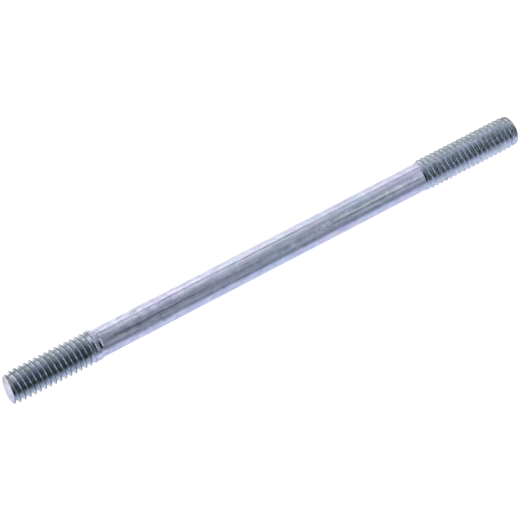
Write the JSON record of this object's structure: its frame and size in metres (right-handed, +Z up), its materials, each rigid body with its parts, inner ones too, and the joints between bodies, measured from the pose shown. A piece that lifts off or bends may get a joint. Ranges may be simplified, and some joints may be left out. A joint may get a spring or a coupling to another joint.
{
  "type": "cylinder stud",
  "caption": "Plain round steel stud with a rolled thread on each end, which holds an engine's cylinder and head to its crankcase.",
  "frame": {"origin": "on the stud's axis, at the inner end of the short thread's full form, where the stud stops in the crankcase", "axes": "+X runs along the axis from the short thread to the long one; +Z is up, with the stud lying on its two threads"},
  "size_m": [0.1059, 0.0058, 0.0058],
  "materials": {
    "zinc_plated_steel": "satin bright zinc plate with a faint blue and lilac tint, and darker thread grooves"
  },
  "bodies": {
    "root": {"cylinder_stud": "zinc_plated_steel"}
  },
  "joints": []
}
